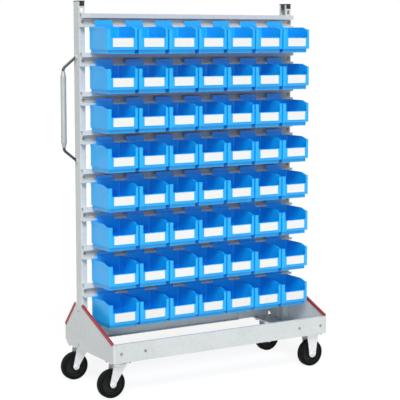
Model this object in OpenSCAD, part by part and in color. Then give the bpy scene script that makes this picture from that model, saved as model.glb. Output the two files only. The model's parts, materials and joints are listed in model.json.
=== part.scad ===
// Mobile bin cart: a galvanised base on four castors, two posts, eight rails and
// fifty-six open-fronted bins that hook on to the rails.
// Millimetres, +Z up, front towards -Y, origin on the floor under the middle of the cart.

/* [Base] */
// Width over the two end plates
base_w = 1126; // [1000:1:1400]
// Depth over the flanges of the end plates
base_d = 478; // [440:1:600]
// Thickness of the end plates and aprons
sheet = 2.5; // [1.5:0.1:3.5]
// Height of the aprons
apron_h = 82; // [70:1:110]
// Width of the lips along the top and bottom of an apron
apron_lip = 16; // [8:1:25]
// Height of an end plate from its lower edge to its flat top
plate_h = 204; // [170:1:260]
// Length of the flat top of an end plate
plate_top = 72; // [60:1:110]
// Length of the flanges that an end plate turns over the aprons
plate_flange = 45; // [40:1:55]
// Outside radius of the bend at those flanges
bend_r = 8; // [4:0.5:12]
// Length cut off the lower rear corner of an end plate
corner_cut_l = 30; // [10:1:40]
// Height cut off the lower rear corner of an end plate
corner_cut_h = 20; // [10:1:26]

/* [Edge trim] */
// Depth of the trim over the edge of the plate
trim_h = 13; // [9:0.5:20]
// Wall of the trim
trim_wall = 3; // [2:0.1:4]

/* [Posts] */
// Height of the posts above the floor, without their caps
post_top = 1696; // [1500:1:1900]
// Width of a post across the cart
post_w = 28; // [24:1:40]
// Depth of a post
post_d = 55; // [50:1:70]
// Wall of a post
post_t = 2.5; // [1.5:0.1:3.5]
// Width of the lips beside the open side of a post
post_lip = 11; // [6:1:16]
// Outside radius of a post's corners
post_r = 3; // [2.5:0.1:5]
// Distance from the rear of the base to the middle of the posts
post_in = 145; // [120:1:160]
// Thickness of a cap's top
cap_t = 4; // [2:0.5:8]
// Depth of a cap's plug and length of its front tongue
cap_plug = 19; // [10:1:24]
// Thickness of a cap's front tongue
cap_tongue = 2; // [1.5:0.1:3]
// Height of the spare slot below the cap
slot_h = 17; // [10:1:20]
// Width of the spare slot
slot_w = 13; // [8:1:16]
// Distance from the top of a post to the middle of the spare slot
slot_down = 37; // [35:1:40]

/* [Rails] */
// Height of a rail
rail_h = 60; // [52:1:66]
// Depth of a rail in front of the posts
rail_d = 24; // [20:1:30]
// Wall of a rail
rail_t = 2; // [1.2:0.1:2.4]
// Height of the upper lip of a rail
rail_upper = 20; // [14:1:22]
// Height of the lower lip that the bins hang on
rail_lower = 11; // [10:0.5:14]
// Distance from the top of the end plates to the top of the lowest rail
last_rail_up = 95.2; // [90:0.1:120]
// Distance from the top of the posts to the top of the first rail
first_rail_down = 51; // [49:1:60]

/* [Bins] */
// Bins on one rail
bins_per_row = 7; // [5:1:7]
// Distance from one bin to the next
bin_pitch = 151; // [150:0.5:152]
// Width of a bin over its rim
bin_w = 149; // [140:0.5:149.5]
// Depth of a bin
bin_d = 178; // [160:1:200]
// Height of a bin at the back, without its hook
bin_h = 116; // [110:0.5:118]
// Wall of a bin
bin_wall = 2.5; // [1.8:0.1:3.2]
// Radius of a bin's upright corners
bin_r = 9; // [5:0.5:12]
// Height of the front wall
front_h = 69; // [69:0.5:80]
// Width of the pillars beside the front opening
pillar_w = 17; // [12:0.5:20]
// Fall of the side walls towards the front
side_drop = 10; // [4:0.5:16]
// Height of the foot that stacks into the bin below
foot_h = 17; // [10:0.5:22]
// Inset of the foot at the sides
foot_side = 6; // [4:0.5:10]
// Inset of the foot at the front
foot_front = 13; // [8:0.5:20]
// Height of the rim along the top of the sides
rim_h = 13; // [6:0.5:16]
// Distance that the rim stands proud
rim_out = 1.5; // [0.5:0.1:2]
// Width of the hook on the back
hook_w = 86; // [60:1:110]
// Thickness of the hook
hook_t = 3; // [2:0.1:4]
// Length of the hook behind the rail's lip
hook_drop = 8; // [5:0.5:9]
// Height of the hook's tab above the rail's lip
hook_rise = 20; // [10:0.5:20]

/* [Labels] */
// Width of a label card
label_w = 99; // [80:1:105]
// Height of a label card
label_h = 37; // [25:1:39]
// Thickness of a label card
label_t = 0.8; // [0.5:0.1:1.2]
// Height of the card's lower edge above the bottom of the bin
label_z = 29; // [24:0.5:29.5]
// Width of the holder's strips beside and below the card
holder_w = 3; // [2:0.1:4]
// Distance that the holder stands out from the front wall
holder_t = 2; // [1.6:0.1:3]

/* [Castors] */
// Height from the floor to the base
castor_h = 160; // [156:1:190]
// Diameter of a wheel
wheel_d = 125; // [110:1:130]
// Width of a tyre
wheel_w = 36; // [28:1:40]
// Distance from the end of the base to the castor's middle
castor_in_x = 53; // [50:1:60]
// Distance from the front or rear of the base to the castor's middle
castor_in_y = 60; // [56:1:70]
// Trail of the swivel castors
trail = 37; // [25:1:42]
// Length of a castor's top plate across the cart
mount_l = 100; // [90:1:104]
// Width of a castor's top plate
mount_w = 85; // [82:1:95]
// Thickness of a castor's top plate
mount_t = 3.5; // [2.5:0.1:4]
// Bolt spacing along the top plate
bolt_l = 80; // [74:1:82]
// Bolt spacing across the top plate
bolt_w = 60; // [58:1:64]
// Thickness of the fork legs
fork_t = 4; // [3:0.1:5]
// Clear width inside a fork
fork_in = 42; // [41.5:0.1:46]
// Diameter of the axles
axle_d = 12; // [10:0.5:14]
// Diameter of the swivel pins
pin_d = 14; // [12:0.5:16]
// Height of the swivel bearing
race_h = 8; // [6:0.5:10]

/* [Carriers] */
// Length of a carrier's upstands along the aprons
carrier_l = 181; // [170:1:220]
// Width of a carrier's floor plate
carrier_w = 96; // [95:1:120]
// Thickness of a castor carrier
carrier_t = 4; // [3:0.1:5]
// Height of a carrier's upstand
upstand_h = 58; // [55:1:64]
// Distance from the end of the base to the outer base screw
screw_outer = 36; // [32:0.5:38]
// Distance from the end of the base to the inner base screw
screw_inner = 155; // [140:1:165]

/* [Handle] */
// Diameter of the handle's rod
rod_d = 12; // [10:0.5:14]
// Diameter of the grip on the rod
grip_d = 25; // [20:0.5:30]
// Length of the grip
grip_l = 332; // [240:1:334]
// Length of the grip's tapered ends
grip_taper = 24; // [10:1:40]
// Distance from the post to the middle of the grip
handle_out = 65; // [60:1:80]
// Height at which the lower arm meets the post
handle_low = 1003; // [900:1:1010]
// Height at which the upper arm meets the post
handle_high = 1456; // [1450:1:1500]
// Height between an arm's end on the post and its bend
arm_rise = 48; // [40:1:48]
// Bend radius of the rod
handle_r = 20; // [14:1:20]
// Diameter of the collars that end the arms on the post
collar_d = 20; // [18:0.5:26]
// Thickness of those collars
collar_t = 9; // [8.5:0.5:14]

/* [Fasteners] */
// Diameter of the bolts
bolt_d = 8; // [6:0.5:8]
// Diameter of a button head
head_d = 14; // [12:0.5:16]
// Height of a button head
head_h = 4; // [3:0.5:5]
// Width of the socket in a button head across its corners
socket_d = 6; // [4:0.1:7]
// Depth of that socket
socket_h = 2.4; // [1.5:0.1:2.5]
// Width of a hexagon head or nut across its corners
hex_d = 14.4; // [13:0.1:15]
// Height of a hexagon head or nut
hex_h = 6; // [4:0.5:6.5]
// Clearance of a bolt in its hole, on the radius
hole_gap = 0.3; // [0.1:0.05:0.5]

/* [Hidden] */
$fn = 48;
// Running clearance of pins and axles, on the radius
run_gap = 0.05;
// Side clearance of moving pieces
side_gap = 0.5;
// Clearance of a tyre on its hub, on the radius
tyre_gap = 0.2;
// Clearance between a bin and the front of the rails
bin_gap = 0.3;
// Extra length of a cutting tool past the surface that it cuts
over = 1;
// Steps along the curve of a bin's side wall
curve_steps = 8;
// Rails, and rows of bins
rows = 8;

half_w = base_w / 2;
half_d = base_d / 2;
plate_x = half_w - sheet;
wheel_r = wheel_d / 2;
castor_x = half_w - castor_in_x;
castor_y = half_d - castor_in_y;
post_y = half_d - post_in;
// The handle reaches furthest left and a rigid wheel or the base furthest right
reach_left = plate_x + handle_out + grip_d / 2;
reach_right = max(half_w, castor_x + wheel_r);
cart_x = (reach_left - reach_right) / 2;

apron_top = castor_h + apron_h;
gable_top = castor_h + plate_h;
gable_front = post_y - plate_top / 2;
gable_rear = post_y + plate_top / 2;
apron_y = half_d - sheet;
// The aprons and carriers end where the bends of the end plates begin
bend_x = half_w - bend_r;
lip_end_x = bend_x - over;
screw_z = castor_h + apron_h / 2;

post_front = post_y - post_d / 2;
rail_front = post_front - rail_d;
rail_top_1 = post_top - first_rail_down;
row_pitch = (rail_top_1 - gable_top - last_rail_up) / (rows - 1);
bin_back = rail_front - bin_gap;
bin_front = bin_back - bin_d;
hook_in = bin_gap + rail_t + side_gap;
shell_w = bin_w - 2 * rim_out;
shell_d = bin_d - rim_out;
side_plan_r = bin_r - rim_out;
inner_plan_r = side_plan_r - bin_wall;
// The side walls are level at the back, fall along a curve and end level at the front
side_flat = bin_d / 3;
side_low = side_flat / 4;

grip_x = -plate_x - handle_out;
handle_mid = (handle_low + handle_high) / 2;
// Distance from an arm's end, in the middle of its collar, to the line of the grip
arm_run = handle_out - collar_t / 2;
// Angle between an arm and the grip, and the length of each that the bend takes up
arm_turn = atan2(arm_run, arm_rise);
bend_l = handle_r * tan(arm_turn / 2);
// Clearance of the grip on the rod, on the radius, and its wall at the ends
grip_gap = 0.2;
grip_end_wall = 1.5;
// Wall of a collar behind its bolt hole, and the depth of that hole
collar_wall = 2;
collar_bore = collar_t - collar_wall;

mount_z = castor_h - mount_t;
race_z = mount_z - race_h;
// The fork's crown is a little thicker than its legs
crown_more = 1;
crown_t = fork_t + crown_more;
crown_z = race_z - crown_t;
race_r = 29;
// Width of the fork's crown beyond the race
crown_edge = 3;
crown_r = race_r + crown_edge;
mount_corner_r = 8;
pin_head_d = 22;
pin_nut_d = 24;
pin_nut_h = 7;
fork_out = fork_in + 2 * fork_t;
// Radius of the round ends of the legs, on a fork and on a rigid bracket
fork_end_r = 15;
bracket_end_r = 19;
// Half the width of a rigid bracket's legs at the top plate
bracket_shoulder = 32;
axle_nut_d = 20;
axle_nut_h = 7;
// Thread of an axle that stands out of its nut
axle_proud = 2;
tyre_depth = 16;
tyre_shoulder_r = 9;
hub_rim_r = wheel_r - tyre_depth;
// Inset of the hub's rim from the sides of the tyre
hub_rim_in = 3;
hub_rim_w = wheel_w - 2 * hub_rim_in;
hub_rim_t = 5;
hub_boss_r = 16;
hub_web_w = 10;
// Draft of the walls that join the hub's web to its rim and boss
hub_draft = 3;
hub_w = fork_in - 2 * side_gap;
// Heights of the post's bolts above the base and below the top of an end plate
post_bolt_low = 18;
post_bolt_high = 30;
// Width of the flat on the crown of a domed head
dome_flat = 10;

galvanised = [0.74, 0.77, 0.78];
bright_zinc = [0.86, 0.88, 0.89];
bin_blue = [0.25, 0.62, 0.95];
card_white = [0.97, 0.97, 0.96];
trim_red = [0.72, 0.16, 0.17];
black = [0.07, 0.07, 0.07];
dark_grey = [0.16, 0.17, 0.17];
dark_steel = [0.34, 0.34, 0.34];

// Placing

// The cart's own middle lies beside the origin, because the handle is on one side only
module on_cart() {
    translate([cart_x, 0, 0]) children();
}

// Shapes drawn on the left, or mirrored to the right
module on_side(side) {
    on_cart() mirror([side > 0 ? 1 : 0, 0, 0]) children();
}

// Shapes drawn at the front, or mirrored to the rear
module on_end(end) {
    mirror([0, end > 0 ? 1 : 0, 0]) children();
}

module on_corner(side, end) {
    on_side(side) on_end(end) children();
}

// A drawing in depth and height, extruded across the cart
module across(x, length) {
    translate([x, 0, 0]) rotate([90, 0, 90]) linear_extrude(length) children();
}

// A block between two corners
module block(low, high) {
    translate(low) cube(high - low);
}

// A shaft along Y, starting at the given point and running rearwards
module shaft_y(point, d, length) {
    translate(point) rotate([-90, 0, 0]) cylinder(d = d, h = length);
}

module hex_y(point, length) {
    translate(point) rotate([-90, 0, 0]) cylinder(d = hex_d, h = length, $fn = 6);
}

// A domed head on a face that looks forward, with a hexagon socket
module button_head_y(point) {
    translate(point) rotate([90, 0, 0]) difference() {
        cylinder(d1 = head_d, d2 = dome_flat, h = head_h);
        translate([0, 0, head_h - socket_h]) cylinder(d = socket_d, h = socket_h + over, $fn = 6);
    }
}

// A rectangle with round corners, centred across and starting at y = 0
module round_plan(w, d, r) {
    translate([r - w / 2, 0]) square([w - 2 * r, d]);
    translate([-w / 2, r]) square([w, d - 2 * r]);
    for (x = [r - w / 2, w / 2 - r], y = [r, d - r]) translate([x, y]) circle(r);
}

// Base

function gable_slope(end) =
    (plate_h - apron_h) / (end < 0 ? gable_front + half_d : half_d - gable_rear);

// Plan of an end plate with the flanges that it turns inwards at the front and the rear
module plate_plan() {
    inside = [plate_flange - half_w, sheet - half_d];
    difference() {
        translate(inside - [0, sheet]) round_plan(2 * plate_flange, base_d, bend_r);
        translate(inside) round_plan(2 * plate_flange - 2 * sheet, base_d - 2 * sheet, bend_r - sheet);
        translate(inside - [0, sheet + over]) square([plate_flange + over, base_d + 2 * over]);
    }
}

// Outline of an end plate in depth and height
module plate_outline() {
    edge = half_d - bend_r;
    past = half_d + over;
    polygon([
        [-past, castor_h],
        [half_d - corner_cut_l, castor_h],
        [edge, castor_h + corner_cut_h],
        [past, castor_h + corner_cut_h],
        [past, apron_top],
        [edge, apron_top],
        [edge, apron_top + bend_r * gable_slope(1)],
        [gable_rear, gable_top],
        [gable_front, gable_top],
        [-edge, apron_top + bend_r * gable_slope(-1)],
        [-edge, apron_top],
        [-past, apron_top]
    ]);
}

module end_plate(side) {
    color(galvanised) on_side(side) difference() {
        intersection() {
            translate([0, 0, castor_h]) linear_extrude(plate_h) plate_plan();
            across(-half_w - over, plate_flange + 2 * over) plate_outline();
        }
        for (end = [-1, 1]) on_end(end) outer_screw_hole();
        for (z = post_bolt_heights()) post_bolt_hole(z);
    }
}

function post_bolt_heights() = [castor_h + post_bolt_low, gable_top - post_bolt_high];

module post_bolt_hole(z) {
    translate([-half_w - over, post_y, z]) rotate([0, 90, 0])
        cylinder(r = bolt_d / 2 + hole_gap, h = sheet + post_t + 2 * over);
}

module screw_hole(x) {
    shaft_y([x, -half_d - over, screw_z], bolt_d + 2 * hole_gap, 2 * sheet + carrier_t + 2 * over);
}

module outer_screw_hole() {
    screw_hole(screw_outer - half_w);
}

module edge_trim(end) {
    start = half_d - bend_r;
    top = end < 0 ? gable_front : -gable_rear;
    rise = bend_r * gable_slope(end);
    run = [top + start, plate_h - apron_h - rise];
    length = norm(run);
    translate([-half_w - trim_wall, -start, apron_top + rise])
        rotate([atan2(run[1], run[0]), 0, 0]) difference() {
            block([0, 0, trim_wall - trim_h], [sheet + 2 * trim_wall, length, trim_wall]);
            block([trim_wall, -over, -trim_h], [trim_wall + sheet, length + over, 0]);
        }
}

module edge_trims() {
    color(trim_red) for (side = [-1, 1], end = [-1, 1]) on_corner(side, end) edge_trim(end);
}

module apron(end) {
    low_lip_x = bend_x - carrier_l - over;
    color(galvanised) on_cart() on_end(end) difference() {
        union() {
            block([-bend_x, -apron_y, castor_h], [bend_x, sheet - apron_y, apron_top]);
            block([-lip_end_x, -apron_y, apron_top - sheet], [lip_end_x, apron_lip - apron_y, apron_top]);
            block([-low_lip_x, -apron_y, castor_h], [low_lip_x, apron_lip - apron_y, castor_h + sheet]);
        }
        for (side = [-1, 1], x = [screw_outer, screw_inner]) screw_hole(side * (half_w - x));
    }
}

module front_apron() {
    apron(-1);
}

module rear_apron() {
    apron(1);
}

// Floor plate across one end of the base, with an upstand along each apron
module carrier(side) {
    low = [-bend_x, sheet - apron_y, castor_h];
    color(galvanised) on_side(side) difference() {
        union() {
            block(low, low + [carrier_w, 2 * (apron_y - sheet), carrier_t]);
            for (end = [-1, 1]) on_end(end) block(low, low + [carrier_l, carrier_t, upstand_h]);
        }
        for (end = [-1, 1]) on_end(end) {
            for (x = [screw_outer, screw_inner]) screw_hole(x - half_w);
            at_castor_bolts() cylinder(r = bolt_d / 2 + hole_gap, h = 4 * carrier_t, center = true);
            translate([-castor_x, -castor_y, castor_h - over])
                cylinder(r = pin_d, h = carrier_t + 2 * over);
        }
    }
}

module left_carrier() {
    carrier(-1);
}

module right_carrier() {
    carrier(1);
}

// Button head outside, shank through the sheets and a nut on the carrier
module base_screw(x, face, grip) {
    button_head_y([x, face, screw_z]);
    shaft_y([x, face, screw_z], bolt_d, grip + hex_h + over);
    hex_y([x, face + grip, screw_z], hex_h);
}

module base_screws() {
    color(bright_zinc) for (side = [-1, 1], end = [-1, 1]) on_corner(side, end) {
        base_screw(screw_outer - half_w, -half_d, 2 * sheet + carrier_t);
        base_screw(screw_inner - half_w, -apron_y, sheet + carrier_t);
    }
}

// Posts

module post_section() {
    difference() {
        translate([post_w / 2 - plate_x, post_front]) round_plan(post_w, post_d, post_r);
        translate([post_t - plate_x, post_front + post_t])
            square([post_w - 2 * post_t, post_d - 2 * post_t]);
        translate([post_w / 2 - plate_x, post_front + post_lip])
            square([post_w, post_d - 2 * post_lip]);
    }
}

module post(side) {
    foot = castor_h + carrier_t;
    mid_x = post_w / 2 - plate_x;
    color(galvanised) on_side(side) difference() {
        translate([0, 0, foot]) linear_extrude(post_top - foot) post_section();
        for (z = post_bolt_heights()) post_bolt_hole(z);
        for (row = [1 : rows])
            shaft_y([mid_x, post_front - over, rail_mid(row)], bolt_d + 2 * hole_gap, 2 * post_t);
        block(
            [mid_x - slot_w / 2, post_front - over, post_top - slot_down - slot_h / 2],
            [mid_x + slot_w / 2, post_front + post_t + over, post_top - slot_down + slot_h / 2]
        );
        if (side < 0) for (z = handle_bolt_heights()) handle_bolt_hole(z);
    }
}

module left_post() {
    post(-1);
}

module right_post() {
    post(1);
}

module post_cap() {
    fit = post_t + side_gap / 2;
    difference() {
        union() {
            block(
                [-plate_x, post_front - cap_tongue, post_top],
                [post_w - plate_x, post_front + post_d, post_top + cap_t]
            );
            block(
                [fit - plate_x, post_front + fit, post_top - cap_plug],
                [post_w - fit - plate_x, post_front + post_d - fit, post_top]
            );
            block(
                [cap_tongue - plate_x, post_front - cap_tongue, post_top - cap_plug],
                [post_w - cap_tongue - plate_x, post_front, post_top]
            );
        }
        block(
            [2 * fit - plate_x, post_front + 2 * fit, post_top - cap_plug - over],
            [post_w - 2 * fit - plate_x, post_front + post_d - 2 * fit, post_top]
        );
    }
}

module post_caps() {
    color(black) for (side = [-1, 1]) on_side(side) post_cap();
}

module dome_bolt_x(x, y, z, grip) {
    translate([x, y, z]) rotate([0, 90, 0]) {
        translate([0, 0, -head_h]) cylinder(d1 = dome_flat, d2 = head_d, h = head_h);
        cylinder(d = bolt_d, h = grip + hex_h + over);
        translate([0, 0, grip]) cylinder(d = hex_d, h = hex_h, $fn = 6);
    }
}

module post_bolts() {
    color(bright_zinc) for (side = [-1, 1], z = post_bolt_heights())
        on_side(side) dome_bolt_x(-half_w, post_y, z, sheet + post_t);
}

// Rails

function rail_top(row) = rail_top_1 - (row - 1) * row_pitch;
function rail_mid(row) = rail_top(row) - (rail_upper + rail_h - rail_lower) / 2;

module rail(row) {
    top = rail_top(row);
    low = top - rail_h;
    color(galvanised) on_cart() difference() {
        across(-plate_x, 2 * plate_x) polygon([
            [post_front, low],
            [post_front, top],
            [rail_front, top],
            [rail_front, top - rail_upper],
            [rail_front + rail_t, top - rail_upper],
            [rail_front + rail_t, top - rail_t],
            [post_front - rail_t, top - rail_t],
            [post_front - rail_t, low + rail_t],
            [rail_front + rail_t, low + rail_t],
            [rail_front + rail_t, low + rail_lower],
            [rail_front, low + rail_lower],
            [rail_front, low]
        ]);
        for (side = [-1, 1]) shaft_y(
            [side * (plate_x - post_w / 2), post_front - 2 * rail_t, rail_mid(row)],
            bolt_d + 2 * hole_gap, 3 * rail_t
        );
    }
}

module rail_screw(row) {
    x = post_w / 2 - plate_x;
    grip = rail_t + post_t;
    button_head_y([x, post_front - rail_t, rail_mid(row)]);
    shaft_y([x, post_front - rail_t, rail_mid(row)], bolt_d, grip + hex_h + over);
    hex_y([x, post_front + post_t, rail_mid(row)], hex_h);
}

module rail_screws() {
    color(bright_zinc) for (side = [-1, 1], row = [1 : rows]) on_side(side) rail_screw(row);
}

// Handle

function handle_bolt_heights() = [handle_low, handle_high];

module handle_bolt_hole(z) {
    translate([-plate_x - collar_bore, post_y, z]) rotate([0, 90, 0])
        cylinder(r = bolt_d / 2 + hole_gap, h = collar_bore + post_t + over);
}

// Bend at the upper end of the rod, a little thicker so that it takes in the straight stretches,
// the arm and the collar that ends it on the post
module handle_arm(corner_z) {
    translate([grip_x + handle_r, post_y, corner_z - bend_l]) rotate([90, 0, 0])
        rotate([0, 0, 180 - arm_turn]) rotate_extrude(angle = arm_turn)
            translate([handle_r, 0]) circle(d = rod_d + side_gap);
    translate([grip_x, post_y, corner_z]) rotate([0, arm_turn, 0]) translate([0, 0, bend_l - over])
        cylinder(d = rod_d, h = norm([arm_run, arm_rise]) - bend_l + over);
    translate([-plate_x - collar_t, post_y, corner_z + arm_rise]) rotate([0, 90, 0])
        cylinder(d = collar_d, h = collar_t);
}

module push_handle() {
    corner_z = handle_high - handle_mid - arm_rise;
    straight = corner_z - bend_l + over;
    color(dark_steel) on_cart() difference() {
        translate([0, 0, handle_mid]) {
            translate([grip_x, post_y, -straight]) cylinder(d = rod_d, h = 2 * straight);
            handle_arm(corner_z);
            mirror([0, 0, 1]) handle_arm(corner_z);
        }
        for (z = handle_bolt_heights()) handle_bolt_hole(z);
    }
}

module handle_grip() {
    half = grip_l / 2;
    bore_r = rod_d / 2 + grip_gap;
    end_r = bore_r + grip_end_wall;
    color(galvanised) on_cart() translate([grip_x, post_y, handle_mid]) rotate_extrude() polygon([
        [bore_r, -half],
        [end_r, -half],
        [grip_d / 2, grip_taper - half],
        [grip_d / 2, half - grip_taper],
        [end_r, half],
        [bore_r, half]
    ]);
}

// Bolts from inside the post into the collars
module handle_bolts() {
    color(bright_zinc) on_cart() for (z = handle_bolt_heights())
        translate([post_t - plate_x, post_y, z]) rotate([0, -90, 0]) {
            cylinder(d = bolt_d, h = post_t + collar_bore - over);
            translate([0, 0, -hex_h]) cylinder(d = hex_d, h = hex_h, $fn = 6);
        }
}

// Castors

module at_castor_bolts() {
    for (x = [-1, 1], y = [-1, 1])
        translate([x * bolt_l / 2 - castor_x, y * bolt_w / 2 - castor_y, castor_h]) children();
}

module mount_plate() {
    difference() {
        translate([-castor_x, -castor_y - mount_w / 2, mount_z]) linear_extrude(mount_t)
            round_plan(mount_l, mount_w, mount_corner_r);
        at_castor_bolts() cylinder(r = bolt_d / 2 + hole_gap, h = 4 * mount_t, center = true);
    }
}

// Top plate of a swivel castor with the upper race of its bearing
module swivel_mount(end) {
    color(bright_zinc) on_corner(-1, end) difference() {
        union() {
            mount_plate();
            translate([-castor_x, -castor_y, race_z]) rotate_extrude() polygon([
                [0, 0],
                [race_r, 0],
                [race_r, race_h / 2],
                [race_r - race_h / 2, race_h],
                [0, race_h]
            ]);
        }
        translate([-castor_x, -castor_y, race_z - over])
            cylinder(r = pin_d / 2 + run_gap, h = race_h + mount_t + 2 * over);
    }
}

module front_left_mount() {
    swivel_mount(-1);
}

module rear_left_mount() {
    swivel_mount(1);
}

module swivel_pin() {
    head = carrier_t - over;
    low = crown_z - pin_nut_h;
    translate([-castor_x, -castor_y, 0]) {
        translate([0, 0, castor_h]) cylinder(d = pin_head_d, h = head);
        translate([0, 0, low]) cylinder(d = pin_d, h = castor_h + head - low);
        translate([0, 0, low]) cylinder(d = pin_nut_d, h = pin_nut_h, $fn = 6);
    }
}

module swivel_pins() {
    color(bright_zinc) for (end = [-1, 1]) on_corner(-1, end) swivel_pin();
}

// Outline of a fork leg in width and height, from its shoulder to the round end at the axle
module leg_outline(top_z, top_left, top_right, axle_x, end_r) {
    polygon([
        [top_left, top_z],
        [axle_x - end_r, wheel_r + end_r / 4],
        [axle_x - end_r, wheel_r],
        [axle_x + end_r, wheel_r],
        [axle_x + end_r, wheel_r + end_r / 4],
        [top_right, top_z]
    ]);
    translate([axle_x, wheel_r]) circle(end_r);
}

// A pair of legs beside the wheel, at the castor's own middle
module leg_pair(top_z, top_left, top_right, axle_x, end_r) {
    for (y = [-fork_out / 2, fork_in / 2]) translate([0, y + fork_t, 0]) rotate([90, 0, 0])
        linear_extrude(fork_t) leg_outline(top_z, top_left, top_right, axle_x, end_r);
}

module axle_hole(axle_x) {
    shaft_y([axle_x, -fork_out, wheel_r], axle_d + 2 * run_gap, 2 * fork_out);
}

// Fork of a swivel castor: a round crown under the race and two legs that trail
module swivel_fork(end) {
    color(bright_zinc) on_corner(-1, end) translate([-castor_x, -castor_y, 0]) difference() {
        union() {
            translate([0, 0, crown_z]) cylinder(r = crown_r, h = crown_t);
            block([-crown_r, -fork_out / 2, crown_z], [crown_r, fork_out / 2, crown_z + crown_t]);
            leg_pair(crown_z + crown_t, -crown_r, crown_r, -trail, fork_end_r);
        }
        translate([0, 0, crown_z - over]) cylinder(r = pin_d / 2 + run_gap, h = crown_t + 2 * over);
        axle_hole(-trail);
    }
}

module front_left_fork() {
    swivel_fork(-1);
}

module rear_left_fork() {
    swivel_fork(1);
}

// Bracket of a rigid castor, pressed from one sheet with its top plate
module rigid_bracket(end) {
    top = mount_z + mount_t / 2;
    color(bright_zinc) on_corner(1, end) difference() {
        union() {
            mount_plate();
            translate([-castor_x, -castor_y, 0])
                leg_pair(top, -bracket_shoulder, bracket_shoulder, 0, bracket_end_r);
        }
        translate([-castor_x, -castor_y, 0]) axle_hole(0);
    }
}

module front_right_bracket() {
    rigid_bracket(-1);
}

module rear_right_bracket() {
    rigid_bracket(1);
}

// Bolt heads lie on the carrier and nuts under the castor's top plate
module castor_bolts() {
    color(bright_zinc) for (side = [-1, 1], end = [-1, 1]) on_corner(side, end) at_castor_bolts() {
        translate([0, 0, carrier_t]) cylinder(d = hex_d, h = hex_h, $fn = 6);
        translate([0, 0, -mount_t - hex_h]) cylinder(d = bolt_d, h = carrier_t + mount_t + hex_h);
        translate([0, 0, -mount_t - hex_h]) cylinder(d = hex_d, h = hex_h, $fn = 6);
    }
}

// Places a wheel's pieces on its axle line, with the wheel's own axis along Z
module on_axle(side, end) {
    on_corner(side, end) translate([-castor_x - (side < 0 ? trail : 0), -castor_y, wheel_r])
        rotate([90, 0, 0]) children();
}

module axle(side, end) {
    half = fork_out / 2;
    low = -half - axle_nut_h;
    color(bright_zinc) on_axle(side, end) {
        translate([0, 0, low]) cylinder(d = axle_d, h = axle_proud - 2 * low);
        for (z = [low, half]) translate([0, 0, z]) cylinder(d = axle_nut_d, h = axle_nut_h, $fn = 6);
    }
}

module front_left_axle() {
    axle(-1, -1);
}

module rear_left_axle() {
    axle(-1, 1);
}

module front_right_axle() {
    axle(1, -1);
}

module rear_right_axle() {
    axle(1, 1);
}

// Half section of a hub: boss on the axle, thin web and broad rim
module hub_section() {
    bore_r = axle_d / 2 + run_gap;
    web_start = hub_boss_r + hub_draft;
    rim_in = hub_rim_r - hub_rim_t;
    web_end = rim_in - hub_draft;
    polygon([
        [bore_r, -hub_w / 2],
        [hub_boss_r, -hub_w / 2],
        [web_start, -hub_web_w / 2],
        [web_end, -hub_web_w / 2],
        [rim_in, -hub_rim_w / 2],
        [hub_rim_r, -hub_rim_w / 2],
        [hub_rim_r, hub_rim_w / 2],
        [rim_in, hub_rim_w / 2],
        [web_end, hub_web_w / 2],
        [web_start, hub_web_w / 2],
        [hub_boss_r, hub_w / 2],
        [bore_r, hub_w / 2]
    ]);
}

module hub(side, end) {
    color(dark_grey) on_axle(side, end) rotate_extrude() hub_section();
}

module front_left_hub() {
    hub(-1, -1);
}

module rear_left_hub() {
    hub(-1, 1);
}

module front_right_hub() {
    hub(1, -1);
}

module rear_right_hub() {
    hub(1, 1);
}

// Half section of a tyre with round shoulders, on the hub's rim
module tyre_section() {
    inner = hub_rim_r + tyre_gap;
    shoulder_in = wheel_r - tyre_shoulder_r;
    flat_w = wheel_w - 2 * tyre_shoulder_r;
    intersection() {
        translate([inner, -wheel_w / 2]) square([tyre_depth, wheel_w]);
        union() {
            translate([inner, -wheel_w / 2]) square([shoulder_in - inner, wheel_w]);
            translate([inner, -flat_w / 2]) square([wheel_r - inner, flat_w]);
            for (y = [-flat_w / 2, flat_w / 2]) translate([shoulder_in, y]) circle(tyre_shoulder_r);
        }
    }
}

module tyre(side, end) {
    color(black) on_axle(side, end) rotate_extrude() tyre_section();
}

module front_left_tyre() {
    tyre(-1, -1);
}

module rear_left_tyre() {
    tyre(-1, 1);
}

module front_right_tyre() {
    tyre(1, -1);
}

module rear_right_tyre() {
    tyre(1, 1);
}

// Bins, each drawn with its front at y = 0 and its bottom at z = 0

// Height of the side wall at a share of the curve, from its low front to its level back
function side_height(share) = bin_h - side_drop * (1 + cos(180 * share)) / 2;
function side_curve() = [
    for (step = [0 : curve_steps])
        [side_low + (side_flat - side_low) * step / curve_steps, side_height(step / curve_steps)]
];

module bin_outside() {
    intersection() {
        translate([0, 0, foot_h]) linear_extrude(bin_h) round_plan(shell_w, shell_d, side_plan_r);
        across(-bin_w, 2 * bin_w) polygon(concat(
            [[bin_d, 0], [-over, 0], [-over, side_height(0)]],
            side_curve(),
            [[bin_d, bin_h]]
        ));
    }
    linear_extrude(foot_h) translate([0, foot_front])
        round_plan(shell_w - 2 * foot_side, shell_d - foot_front, side_plan_r);
}

module bin_rim() {
    top = concat(side_curve(), [[bin_d + over, bin_h]]);
    count = len(top);
    under = [for (i = [1 : count]) top[count - i] - [0, rim_h]];
    intersection() {
        linear_extrude(bin_h + over) round_plan(bin_w, bin_d, bin_r);
        across(-bin_w, 2 * bin_w) polygon(concat(top, under));
    }
}

module bin_inside() {
    low_w = shell_w - 2 * foot_side - 2 * bin_wall;
    low_d = shell_d - foot_front - 2 * bin_wall;
    translate([0, bin_wall, foot_h + bin_wall]) linear_extrude(bin_h)
        round_plan(shell_w - 2 * bin_wall, shell_d - 2 * bin_wall, inner_plan_r);
    translate([0, foot_front + bin_wall, bin_wall]) linear_extrude(foot_h + over)
        round_plan(low_w, low_d, inner_plan_r);
    block([pillar_w - bin_w / 2, -over, front_h], [bin_w / 2 - pillar_w, bin_wall + over, bin_h + over]);
}

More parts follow.
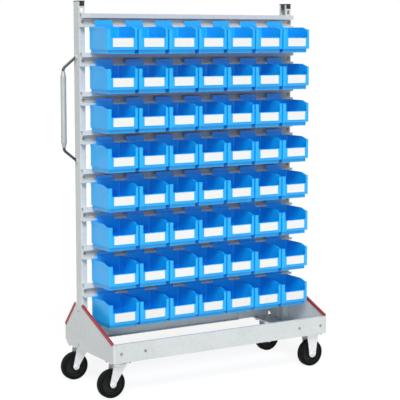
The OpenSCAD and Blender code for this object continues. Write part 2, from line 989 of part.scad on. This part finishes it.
// Strips beside and below the label card
module label_holder() {
    outer = label_w / 2 + holder_w;
    difference() {
        block([-outer, -holder_t, label_z - holder_w], [outer, 0, label_z + label_h]);
        block([-label_w / 2, -holder_t - over, label_z], [label_w / 2, over, label_z + label_h + over]);
    }
}

// Hook over the lip of the rail, along the middle of the back, with a tab that stands up
// in the rail and keeps the bin from tipping
module bin_hook() {
    seat = bin_h + hook_drop;
    back = bin_d + hook_in;
    across(-hook_w / 2, hook_w) polygon([
        [shell_d - bin_wall, bin_h - rim_h],
        [bin_d, bin_h - rim_h],
        [bin_d, seat],
        [back, seat],
        [back, seat - hook_drop],
        [back + hook_t, seat - hook_drop],
        [back + hook_t, seat + hook_rise],
        [back, seat + hook_rise],
        [back, seat + hook_t],
        [shell_d - bin_wall, seat + hook_t]
    ]);
}

module bin() {
    difference() {
        union() {
            bin_outside();
            bin_rim();
            label_holder();
        }
        bin_inside();
    }
    bin_hook();
}

// Bottom of the bins of a row: the hook's seat rests on the top of the rail's lower lip
function bin_z(row) = rail_top(row) - rail_h + rail_lower - hook_drop - bin_h;

module on_row(row) {
    on_cart() for (i = [0 : bins_per_row - 1])
        translate([(i - (bins_per_row - 1) / 2) * bin_pitch, bin_front, bin_z(row)]) children();
}

module bins_row(row) {
    color(bin_blue) on_row(row) bin();
}

module labels_row(row) {
    color(card_white) on_row(row)
        block([-label_w / 2, -label_t, label_z], [label_w / 2, 0, label_z + label_h]);
}

end_plate(-1);  // left_end_plate
end_plate(1);  // right_end_plate
edge_trims();
front_apron();
rear_apron();
left_carrier();
right_carrier();
base_screws();
left_post();
right_post();
post_caps();
post_bolts();
rail(1);  // rail_1
rail(2);  // rail_2
rail(3);  // rail_3
rail(4);  // rail_4
rail(5);  // rail_5
rail(6);  // rail_6
rail(7);  // rail_7
rail(8);  // rail_8
rail_screws();
push_handle();
handle_grip();
handle_bolts();
front_left_mount();
rear_left_mount();
swivel_pins();
front_left_fork();
rear_left_fork();
front_right_bracket();
rear_right_bracket();
castor_bolts();
front_left_axle();
rear_left_axle();
front_right_axle();
rear_right_axle();
front_left_hub();
rear_left_hub();
front_right_hub();
rear_right_hub();
front_left_tyre();
rear_left_tyre();
front_right_tyre();
rear_right_tyre();
bins_row(1);  // bins_row_1
bins_row(2);  // bins_row_2
bins_row(3);  // bins_row_3
bins_row(4);  // bins_row_4
bins_row(5);  // bins_row_5
bins_row(6);  // bins_row_6
bins_row(7);  // bins_row_7
bins_row(8);  // bins_row_8
labels_row(1);  // labels_row_1
labels_row(2);  // labels_row_2
labels_row(3);  // labels_row_3
labels_row(4);  // labels_row_4
labels_row(5);  // labels_row_5
labels_row(6);  // labels_row_6
labels_row(7);  // labels_row_7
labels_row(8);  // labels_row_8
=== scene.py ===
import json
import math

import bmesh
import bpy
from mathutils import Euler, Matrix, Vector

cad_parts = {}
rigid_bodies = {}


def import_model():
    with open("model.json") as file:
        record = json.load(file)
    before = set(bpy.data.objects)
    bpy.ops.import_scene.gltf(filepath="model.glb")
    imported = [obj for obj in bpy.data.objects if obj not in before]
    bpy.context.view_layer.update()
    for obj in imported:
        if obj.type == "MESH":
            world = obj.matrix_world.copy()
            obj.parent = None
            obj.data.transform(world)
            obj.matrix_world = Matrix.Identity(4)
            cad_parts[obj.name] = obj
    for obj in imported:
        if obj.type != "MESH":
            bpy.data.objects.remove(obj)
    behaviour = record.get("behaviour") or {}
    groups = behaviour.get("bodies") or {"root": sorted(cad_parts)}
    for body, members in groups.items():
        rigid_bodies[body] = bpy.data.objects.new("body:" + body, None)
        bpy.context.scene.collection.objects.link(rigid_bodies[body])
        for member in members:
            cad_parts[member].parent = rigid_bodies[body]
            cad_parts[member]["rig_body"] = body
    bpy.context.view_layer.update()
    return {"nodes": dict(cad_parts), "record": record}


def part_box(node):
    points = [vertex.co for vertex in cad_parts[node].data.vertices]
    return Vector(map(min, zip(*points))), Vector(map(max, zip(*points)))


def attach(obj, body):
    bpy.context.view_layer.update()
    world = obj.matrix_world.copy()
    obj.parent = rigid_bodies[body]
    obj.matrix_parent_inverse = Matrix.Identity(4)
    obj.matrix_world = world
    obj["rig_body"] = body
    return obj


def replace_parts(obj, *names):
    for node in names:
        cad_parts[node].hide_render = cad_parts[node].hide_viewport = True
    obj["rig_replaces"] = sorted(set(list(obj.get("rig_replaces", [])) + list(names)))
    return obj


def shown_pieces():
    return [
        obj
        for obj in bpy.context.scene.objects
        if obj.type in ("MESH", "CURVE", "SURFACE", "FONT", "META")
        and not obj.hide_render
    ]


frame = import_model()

scene = bpy.context.scene
nodes = frame["nodes"]
slot_of = {part["node"]: part["material_slot"] for part in frame["record"]["subparts"]}

# Camera at the photograph's viewing angle, a little lower than the cart's top and looking down slightly

# The place is in metres, the angles are in degrees, and the lens is in millimetres
CAMERA_PLACE = Vector((-3.008, -4.984, 1.541))
CAMERA_TURN = 31.49
CAMERA_DIP = 6.375
CAMERA_LENS = 115.75
CAMERA_SHIFT = -0.047
CAMERA_REACH = 100

camera_data = bpy.data.cameras.new("camera")
camera_data.lens = CAMERA_LENS
camera_data.shift_y = CAMERA_SHIFT
camera_data.clip_end = CAMERA_REACH
camera = bpy.data.objects.new("camera", camera_data)
camera.location = CAMERA_PLACE
camera.rotation_euler = Euler((math.radians(90 - CAMERA_DIP), 0, -math.radians(CAMERA_TURN)))
scene.collection.objects.link(camera)
scene.camera = camera
scene.view_settings.view_transform = "Standard"


# Node trees

def new_node(tree, kind, **values):
    """A node of that kind, with the named inputs set to numbers or linked to sockets."""
    node = tree.nodes.new(kind)
    for name, value in values.items():
        connect(tree, node.inputs[name.replace("_", " ")], value)
    return node


def connect(tree, socket, value):
    if isinstance(value, bpy.types.NodeSocket):
        tree.links.new(value, socket)
    else:
        socket.default_value = value


def place_on(tree):
    """Coordinates on the piece, in metres."""
    return new_node(tree, "ShaderNodeTexCoord").outputs["Object"]


def noise(tree, scale, detail=2.0, stretch=None):
    vector = place_on(tree)
    if stretch:
        vector = new_node(tree, "ShaderNodeMapping", Vector=vector, Scale=stretch).outputs["Vector"]
    return new_node(tree, "ShaderNodeTexNoise", Vector=vector, Scale=scale, Detail=detail).outputs["Fac"]


def between(tree, share, low, high, start=0.3, stop=0.7):
    """A number or colour that runs from low to high as the share goes from start to stop."""
    ramp = new_node(tree, "ShaderNodeValToRGB", Fac=share)
    for element, place, value in zip(ramp.color_ramp.elements, (start, stop), (low, high)):
        element.position = place
        element.color = (*value, 1) if hasattr(value, "__len__") else (value, value, value, 1)
    return ramp.outputs["Color"]


def bumped(tree, height, distance, strength):
    return new_node(
        tree, "ShaderNodeBump", Height=height, Distance=distance, Strength=strength
    ).outputs["Normal"]


def finish(name, **values):
    """A material with the values that hold all over its surface set on its shader."""
    material = bpy.data.materials.new(name)
    material.use_nodes = True
    shader = material.node_tree.nodes["Principled BSDF"]
    for socket, value in values.items():
        shader.inputs[socket.replace("_", " ")].default_value = value
    return material, material.node_tree, shader.inputs


# Materials. Scales are in features per metre, and depths in metres

SPANGLE_SCALE, SPANGLE_SHARE = 110.0, 0.35
SHEET_CLOUD_SCALE = 7.0
SHEET_GRAIN_SCALE, SHEET_GRAIN_DEPTH = 900.0, 0.0001
ZINC_ROUGH_LOW, ZINC_ROUGH_HIGH = 0.36, 0.42
ROD_GRAIN_SCALE = 120.0
COLLAR_LENGTH, COLLAR_BLEND = 0.0092, 0.00001
PLASTIC_CLOUD_SCALE, PLASTIC_WAVE_SCALE, PLASTIC_GRAIN_SCALE = 9.0, 14.0, 1500.0
PLASTIC_ROUGH_CHANGE = 0.02
DUST_SCALE, RUBBER_GRAIN_SCALE, RUBBER_GRAIN_DEPTH = 40.0, 700.0, 0.0002
FIBRE_SCALE, FIBRE_STRETCH, FIBRE_DEPTH = 500.0, (1.0, 1.0, 4.0), 0.0001


def galvanised_finish(name, dark, light, metallic, gloss=0.5):
    """Zinc-coated sheet: small spangles, a fine grain and soft cloudy patches."""
    material, tree, shader = finish(name, Metallic=metallic, Specular_IOR_Level=gloss)
    spangle = new_node(
        tree, "ShaderNodeTexVoronoi", Vector=place_on(tree), Scale=SPANGLE_SCALE
    ).outputs["Color"]
    clouds = noise(tree, SHEET_CLOUD_SCALE, detail=3.0)
    grain = noise(tree, SHEET_GRAIN_SCALE)
    mixed = new_node(tree, "ShaderNodeMix", Factor=SPANGLE_SHARE, A=clouds, B=spangle).outputs["Result"]
    rough = between(tree, spangle, ZINC_ROUGH_LOW, ZINC_ROUGH_HIGH, start=0.2, stop=0.8)
    connect(tree, shader["Base Color"], between(tree, mixed, dark, light, start=0.25, stop=0.75))
    connect(tree, shader["Roughness"], rough)
    connect(tree, shader["Normal"], bumped(tree, grain, SHEET_GRAIN_DEPTH, strength=0.3))
    return material


def rod_finish(name, dark, light, zinc, collars):
    """Dark steel rod with zinc on its collars, which begin at that place along X."""
    material, tree, shader = finish(name, Metallic=0.3)
    along = new_node(tree, "ShaderNodeSeparateXYZ", Vector=place_on(tree)).outputs["X"]
    share = new_node(
        tree, "ShaderNodeMapRange", Value=along, From_Min=collars, From_Max=collars + COLLAR_BLEND,
        To_Min=noise(tree, ROD_GRAIN_SCALE), To_Max=1.0
    ).outputs["Result"]
    tone = between(tree, share, dark, light)
    tone.node.color_ramp.elements.new(1.0).color = (*zinc, 1)
    connect(tree, shader["Base Color"], tone)
    connect(tree, shader["Roughness"], between(tree, share, ZINC_ROUGH_LOW, ZINC_ROUGH_HIGH))
    return material


def plastic_finish(name, dark, light, rough, grain_depth, **values):
    """Moulded plastic: faint clouds in the colour and a fine moulded surface."""
    material, tree, shader = finish(name, **values)
    clouds = noise(tree, PLASTIC_CLOUD_SCALE)
    waves = noise(tree, PLASTIC_WAVE_SCALE, detail=0.0)
    grain = noise(tree, PLASTIC_GRAIN_SCALE)
    smooth, dull = rough - PLASTIC_ROUGH_CHANGE, rough + PLASTIC_ROUGH_CHANGE
    connect(tree, shader["Base Color"], between(tree, clouds, dark, light))
    connect(tree, shader["Roughness"], between(tree, waves, smooth, dull))
    connect(tree, shader["Normal"], bumped(tree, grain, grain_depth, strength=0.15))
    return material


def rubber_finish(name, dark, light):
    """Solid rubber: dusty patches and a fine matte grain."""
    material, tree, shader = finish(name, Specular_IOR_Level=0.08)
    dust = noise(tree, DUST_SCALE, detail=4.0)
    grain = noise(tree, RUBBER_GRAIN_SCALE, detail=3.0)
    connect(tree, shader["Base Color"], between(tree, dust, dark, light))
    connect(tree, shader["Roughness"], between(tree, dust, low=0.5, high=0.7))
    connect(tree, shader["Normal"], bumped(tree, grain, RUBBER_GRAIN_DEPTH, strength=0.5))
    return material


def card_finish(name, dark, light):
    """Plain white card with short fibres."""
    material, tree, shader = finish(name, Roughness=0.8)
    fibres = noise(tree, FIBRE_SCALE, detail=3.0, stretch=FIBRE_STRETCH)
    connect(tree, shader["Base Color"], between(tree, fibres, dark, light))
    connect(tree, shader["Normal"], bumped(tree, fibres, FIBRE_DEPTH, strength=0.3))
    return material


finishes = {
    "galvanised": galvanised_finish(
        "galvanised_sheet", (0.60, 0.63, 0.63), (0.68, 0.71, 0.71), metallic=0.04, gloss=0.2
    ),
    "handle_tube": galvanised_finish(
        "handle_zinc", (0.40, 0.43, 0.42), (0.48, 0.51, 0.50), metallic=0.3
    ),
    "handle_rod": rod_finish(
        "handle_rod", (0.05, 0.05, 0.05), (0.08, 0.08, 0.08), zinc=(0.60, 0.63, 0.63),
        collars=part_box("left_post")[0].x - COLLAR_LENGTH
    ),
    "castor_zinc": galvanised_finish(
        "castor_zinc", (0.72, 0.74, 0.75), (0.84, 0.86, 0.87), metallic=0.6
    ),
    "fasteners": galvanised_finish(
        "fastener_zinc", (0.26, 0.27, 0.27), (0.38, 0.39, 0.39), metallic=0.3
    ),
    "trim_red": plastic_finish(
        "trim_red", (0.33, 0.014, 0.022), (0.41, 0.022, 0.03), rough=0.4, grain_depth=0.0001
    ),
    "black_plastic": plastic_finish(
        "cap_black", (0.008, 0.008, 0.008), (0.016, 0.016, 0.016), rough=0.45, grain_depth=0.0001
    ),
    "wheel_hub": plastic_finish(
        "hub_black", (0.006, 0.008, 0.008), (0.014, 0.016, 0.016), rough=0.5, grain_depth=0.0001,
        Specular_IOR_Level=0.2
    ),
    "bin_blue": plastic_finish(
        "bin_blue", (0.005, 0.43, 0.98), (0.008, 0.46, 0.99), rough=0.30, grain_depth=0.00005,
        Specular_IOR_Level=0.6
    ),
    "label_card": card_finish("label_paper", (0.83, 0.83, 0.82), (0.89, 0.89, 0.88)),
    "tyre": rubber_finish("tyre_rubber", (0.002, 0.0025, 0.0025), (0.006, 0.007, 0.007)),
}


# Pieces with the shape of a CAD node and with its sharp outer edges rounded off, in metres

WELD = 0.00001
FLAT = math.radians(0.5)
SHARP = math.radians(30)
ROUNDING_STEPS = 2
ROUND_PROFILE = 0.5
EDGE_ROUNDING = {
    "galvanised": 0.0006,
    "handle_tube": 0.0006,
    "handle_rod": 0.0006,
    "castor_zinc": 0.0010,
    "fasteners": 0.0006,
    "trim_red": 0.0009,
    "black_plastic": 0.0008,
    "wheel_hub": 0.0010,
    "tyre": 0.0010,
    "bin_blue": 0.0007,
    "label_card": 0.0002,
}
# The carriers' bolt holes lie close to their edges
NARROW_ROUNDING = {"left_carrier": 0.0002, "right_carrier": 0.0002}
# The bins keep their sharp edges up to this height, just over their inner floor
SHARP_FOOT = {"bins_row_1": 0.021}
NO_FOOT = -0.001


def node_shape(node):
    """The node's mesh as whole flat faces, without the doubled points along its edges."""
    source = nodes[node].data
    mesh = bpy.data.meshes.new(node + "_source")
    mesh.from_pydata([v.co for v in source.vertices], [], [tuple(p.vertices) for p in source.polygons])
    shape = bmesh.new()
    shape.from_mesh(mesh)
    bpy.data.meshes.remove(mesh)
    bmesh.ops.remove_doubles(shape, verts=shape.verts, dist=WELD)
    bmesh.ops.dissolve_limit(shape, angle_limit=FLAT, verts=shape.verts, edges=shape.edges)
    return shape


def round_edges(shape, width, above):
    """Rounds the sharp outer corners above that height. Inner corners stay as they are."""
    sharp = [
        e for e in shape.edges
        if e.is_convex and e.calc_face_angle() > SHARP and all(v.co.z > above for v in e.verts)
    ]
    bmesh.ops.bevel(
        shape, geom=sharp, offset=width, offset_type="OFFSET", segments=ROUNDING_STEPS,
        profile=ROUND_PROFILE, affect="EDGES", clamp_overlap=False
    )


def softened(node):
    """The node's mesh with its edges rounded as its material asks."""
    shape = node_shape(node)
    width = NARROW_ROUNDING.get(node, EDGE_ROUNDING[slot_of[node]])
    round_edges(shape, width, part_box(node)[0].z + SHARP_FOOT.get(node, NO_FOOT))
    for face in shape.faces:
        face.smooth = True
    mesh = bpy.data.meshes.new(node + "_mesh")
    shape.to_mesh(mesh)
    shape.free()
    mesh.set_sharp_from_angle(angle=SHARP)
    mesh.materials.append(finishes[slot_of[node]])
    return mesh


def piece(mesh, node, raised=0.0):
    """Shows the mesh in place of the node, on the node's body and in the material that the mesh carries.
    """
    shown = bpy.data.objects.new(node + "_shape", mesh)
    shown.location.z = raised
    scene.collection.objects.link(shown)
    normals = shown.modifiers.new("normals", "WEIGHTED_NORMAL")
    normals.keep_sharp = True
    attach(shown, nodes[node]["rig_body"])
    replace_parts(shown, node)


def rows_alike(name):
    """Dresses every row's node with the mesh of the first row, one below the other."""
    first = name + "_1"
    mesh = softened(first)
    rows = [n for n in nodes if n.startswith(name + "_") and n[len(name) + 1:].isdigit()]
    for node in sorted(rows):
        piece(mesh, node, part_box(node)[0].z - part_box(first)[0].z)


rows_alike("bins_row")
rows_alike("labels_row")
rows_alike("rail")

dressed = {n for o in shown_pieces() for n in o.get("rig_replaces", [])}
for node in sorted(set(nodes) - dressed):
    piece(softened(node), node)


# Stage and light. Sides, rises and spreads are in degrees

FLOOR_SIZE = 60.0
WORLD_LEVEL = 0.12
KEY_SIDE, KEY_RISE, KEY_SPREAD, KEY_STRENGTH = 30, 42, 25, 2.7
LOW_SIDE, LOW_RISE, LOW_SPREAD, LOW_STRENGTH = 35, 10, 8, 0.5
FLOOR_LIGHT, FLOOR_SEEN = 0.9, 0.18
FLOOR_GLOW = 0.88


def seen_directly(tree):
    """One for rays from the camera, a mirror or glass, and zero for rays that light the scene."""
    path = new_node(tree, "ShaderNodeLightPath").outputs
    seen = path["Is Camera Ray"]
    for ray in ("Is Glossy Ray", "Is Transmission Ray"):
        both = new_node(tree, "ShaderNodeMath")
        both.operation = "MAXIMUM"
        connect(tree, both.inputs[0], seen)
        connect(tree, both.inputs[1], path[ray])
        seen = both.outputs["Value"]
    return seen


def lit_and_seen(tree, lighting, seen):
    """One level for rays that light the scene and another where it is seen directly."""
    return between(tree, seen_directly(tree), lighting, seen, start=0.0, stop=1.0)


def white_world():
    world = bpy.data.worlds.new("studio")
    world.use_nodes = True
    tree = world.node_tree
    connect(tree, tree.nodes["Background"].inputs["Color"], lit_and_seen(tree, WORLD_LEVEL, 1.0))
    scene.world = world


def floor_finish():
    """Pale floor that looks as white as the background, apart from a soft shadow."""
    material, tree, shader = finish(
        "floor", Roughness=0.9, Specular_IOR_Level=0.0, Emission_Color=(1, 1, 1, 1)
    )
    connect(tree, shader["Base Color"], lit_and_seen(tree, FLOOR_LIGHT, FLOOR_SEEN))
    connect(tree, shader["Emission Strength"], lit_and_seen(tree, 0.0, FLOOR_GLOW))
    return material


def even_light(name, side, rise, spread, strength):
    """A wide light, the same all over the floor, from so many degrees left of the front and up."""
    lamp = bpy.data.lights.new(name, "SUN")
    lamp.energy = strength
    lamp.angle = math.radians(spread)
    light = bpy.data.objects.new(name, lamp)
    light.rotation_euler = Euler((math.radians(90 - rise), 0, -math.radians(side)))
    scene.collection.objects.link(light)


white_world()
even_light("key", KEY_SIDE, KEY_RISE, KEY_SPREAD, KEY_STRENGTH)
even_light("low_front", LOW_SIDE, LOW_RISE, LOW_SPREAD, LOW_STRENGTH)

half = FLOOR_SIZE / 2
floor_corners = [(-half, -half, 0), (half, -half, 0), (half, half, 0), (-half, half, 0)]
floor_mesh = bpy.data.meshes.new("floor")
floor_mesh.from_pydata(floor_corners, [], [(0, 1, 2, 3)])
floor_mesh.materials.append(floor_finish())
floor = bpy.data.objects.new("floor", floor_mesh)
scene.collection.objects.link(floor)
